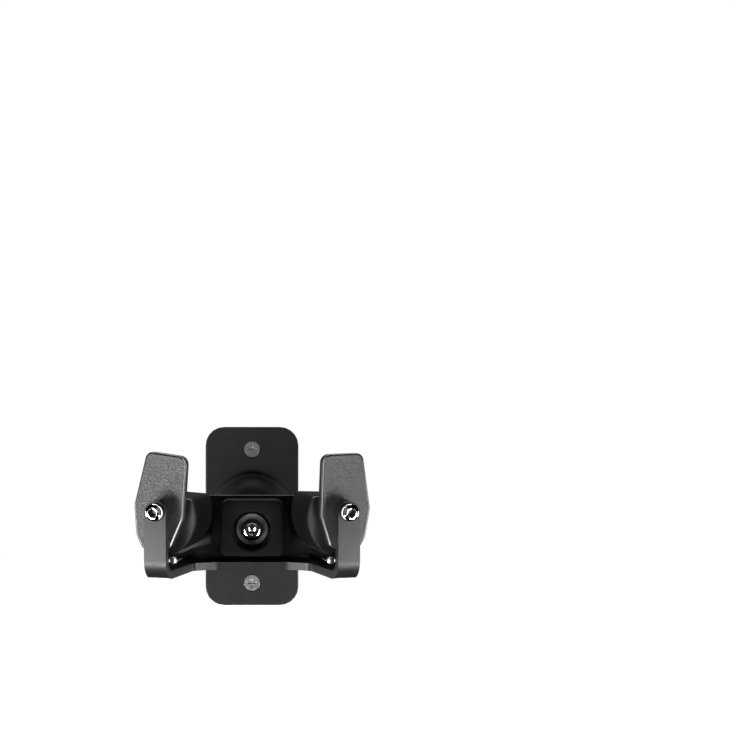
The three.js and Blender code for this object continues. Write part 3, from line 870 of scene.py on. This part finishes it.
def neck_pad():
    """Soft foam pad with rolled edges, a crowned face and a round well for the bolt."""
    lo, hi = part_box("neck_pad")
    cx, cz = (lo.x + hi.x) / 2 / MM, (lo.z + hi.z) / 2 / MM
    w, h = (hi.x - lo.x) / 2 / MM, (hi.z - lo.z) / 2 / MM
    front, back = lo.y / MM, hi.y / MM
    count = 288
    outer = resample(rounded([(-w, -h, 3.2), (w, -h, 3.2), (w, h, 4.2), (-w, h, 4.2)], 14), count)
    hole_z, well = -cz, 9.1
    hole = []
    for x, z in outer:
        a = math.atan2(z - hole_z, x)
        hole.append((well * math.cos(a), hole_z + well * math.sin(a)))
    outer, hole = (outer, hole) if area(outer) < 0 else (outer[::-1], hole[::-1])

    def ring(t, along):
        return [(cx + a[0] + (b[0] - a[0]) * t, along, cz + a[1] + (b[1] - a[1]) * t)
                for a, b in zip(hole, outer)]

    rings = [ring(0, back), ring(0, front + 1.3), ring(0.02, front + 0.7), ring(0.10, front + 0.25)]
    for t in (0.25, 0.4, 0.55, 0.7):
        rings.append(ring(t, front + 0.25 - 0.25 * math.sin(math.pi * (t - 0.1) / 0.9)))
    rings += [ring(0.84, front + 0.12), ring(0.93, front + 0.5), ring(0.985, front + 1.2),
              ring(1.0, front + 2.0), ring(1.0, back - 0.5), ring(0.985, back)]
    verts, faces = closed_rings(rings)
    pad = make("soft_neck_pad", verts, faces, PLAIN, "yoke", MATERIALS["black_rubber"],
               sharp=60, replaces=["neck_pad"])
    return pad


def swivel_head():
    lo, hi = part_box("swivel_bolt")
    front, back = lo.y / MM, hi.y / MM
    profile = dome(5.4, 3.3, front, 2.7) + [(3.0, front + 3.35), (3.0, back - 0.6), (2.4, back)]
    verts, faces = socket_head(profile, 4.0, 2.0)
    return make("swivel_button_bolt", verts, faces, PLAIN, "base", MATERIALS["chrome"],
                replaces=["swivel_bolt"])


# The CAD pieces that stay, with the width in millimetres that their edges are rounded by.
KEPT = {
    "wall_plate": 0.35, "wall_screw_top": 0.12, "wall_screw_bottom": 0.12, "stem": 0.25,
    "stem_screw_1": 0.12, "stem_screw_2": 0.12, "stem_screw_3": 0.12, "swivel_washer": 0.15,
    "swivel_friction_washer": 0.12, "swivel_stop_pin": 0.15,
}
for _label in SIDES:
    KEPT.update({_label + "_lock_nut": 0.12, _label + "_front_bush": 0.08,
                 _label + "_rear_bush": 0.08, _label + "_return_spring": 0.0})


def dress_kept_nodes():
    slots = {s["node"]: s["material_slot"] for s in frame["record"]["subparts"]}
    for name, width in KEPT.items():
        obj = frame["nodes"][name]
        obj.data.materials.clear()
        obj.data.materials.append(MATERIALS[slots[name]])
        obj.data.shade_smooth()
        obj.data.set_sharp_from_angle(angle=math.radians(32))
        weld = obj.modifiers.new("joined_skin", "WELD")
        weld.merge_threshold = 0.005 * MM
        if width:
            bevel(obj, width, 2, 38).modifiers["edge_round"].harden_normals = False
            even = obj.modifiers.new("even_shading", "WEIGHTED_NORMAL")
            even.keep_sharp = True


build_yoke()
for _label in SIDES:
    build_side(_label)
base_cover()
neck_pad()
swivel_head()
dress_kept_nodes()


# ---- stage, light and camera ----------------------------------------------------------------
def panel(name, corners, material):
    mesh = bpy.data.meshes.new(name)
    mesh.from_pydata(corners, [], [(0, 1, 2, 3)])
    obj = bpy.data.objects.new(name, mesh)
    bpy.context.scene.collection.objects.link(obj)
    mesh.materials.append(material)
    return obj


def floor_material():
    """Plain white floor that glows evenly, so that it meets the white surroundings without a line."""
    material, tree, shader, coords = nodes_of("pale_floor")
    grain = noise_node(tree, coords, 40)
    tree.links.new(colour_mix(tree, grain.outputs["Fac"], (0.9, 0.9, 0.89), (0.93, 0.93, 0.92)),
                   shader.inputs["Base Color"])
    tree.links.new(map_range(tree, grain.outputs["Fac"], 0.75, 0.9), shader.inputs["Roughness"])
    shader.inputs["Emission Color"].default_value = (1, 1, 1, 1)
    shader.inputs["Emission Strength"].default_value = 1.05
    bump(tree, shader, grain.outputs["Fac"], 0.1, 0.1 * MM)
    return material


def stage():
    half, level = 4.0, -0.62
    floor = panel("pale_floor", [(-half, -half, level), (half, -half, level), (half, half, level),
                                 (-half, half, level)], floor_material())
    floor.visible_diffuse = False
    floor.visible_glossy = False
    # A grey card edge-on to the camera keeps each side light off the other side's gate.
    near, far, low, high = -0.50, -0.115, -0.020, 0.20
    card = panel("shading_card", [(0, near, low), (0, far, low), (0, far, high), (0, near, high)],
                 surface("shading_card", *grey(0.10, 0.12), (0.8, 0.95)))
    card.visible_camera = False


def area_light(name, place, size, watts, target=(0, -0.09, 0.0)):
    data = bpy.data.lights.new(name, "AREA")
    data.shape = "RECTANGLE"
    data.size, data.size_y = size
    data.energy = watts
    light = bpy.data.objects.new(name, data)
    bpy.context.scene.collection.objects.link(light)
    light.location = place
    light.rotation_mode = "QUATERNION"
    light.rotation_quaternion = (Vector(target) - Vector(place)).to_track_quat("-Z", "Y")
    light.visible_camera = False


def studio():
    """White surroundings that only the camera sees, with soft boxes low on both sides and behind."""
    world = bpy.data.worlds.new("studio")
    world.use_nodes = True
    background = world.node_tree.nodes["Background"]
    background.inputs["Color"].default_value = (1, 1, 1, 1)
    background.inputs["Strength"].default_value = 1.0
    bpy.context.scene.world = world
    world.cycles_visibility.diffuse = False
    world.cycles_visibility.glossy = False
    for name, side, key, low, glow in (("left", -1, 7.4, 4.0, 0.0030), ("right", 1, 5.4, 2.9, 0.0014)):
        area_light("key_" + name, (side * 0.64, -0.71, -0.25), (0.24, 0.34), key)
        area_light("low_" + name, (side * 0.50, -0.76, -0.47), (0.26, 0.20), low)
        area_light("kicker_" + name, (side * 0.50, -0.43, -0.50), (0.12, 0.12), 0.8)
        area_light("side_" + name, (side * 0.80, 0.22, -0.15), (0.4, 0.4), 2.2)
        # What a pale neck between the rests throws back on to their inner edges and end discs.
        for part, y, width, watts in (("edge", -0.1037, 0.002, 0.0040), ("disc", -0.0975, 0.006, glow)):
            area_light("neck_" + part + "_" + name, (side * 0.0215, y, 0.01), (width, 0.09), watts,
                       (side * 0.1, y, 0.01))
    area_light("front", (0, -1.5, 0.35), (0.9, 0.6), 0.4)
    area_light("top_back", (0, 0.55, 0.85), (0.8, 0.8), 9)
    area_light("back", (0, 1.1, -0.45), (0.8, 0.5), 16)


def place_camera():
    scene = bpy.context.scene
    scene.view_settings.view_transform = "Standard"
    pivot = joint("left_gate_swing")["pos_m"]
    camera = bpy.data.objects.new("camera", bpy.data.cameras.new("camera"))
    scene.collection.objects.link(camera)
    distance, rise = 0.42, 0.0424
    camera.location = (0, pivot[1] - distance, pivot[2] + rise)
    camera.rotation_euler = (math.radians(90), 0, 0)
    camera.data.sensor_width = 36
    camera.data.lens = 47.25
    camera.data.shift_x = 0.1576
    camera.data.shift_y = 0.0639
    camera.data.clip_start = 0.01
    scene.camera = camera


stage()
studio()
place_camera()
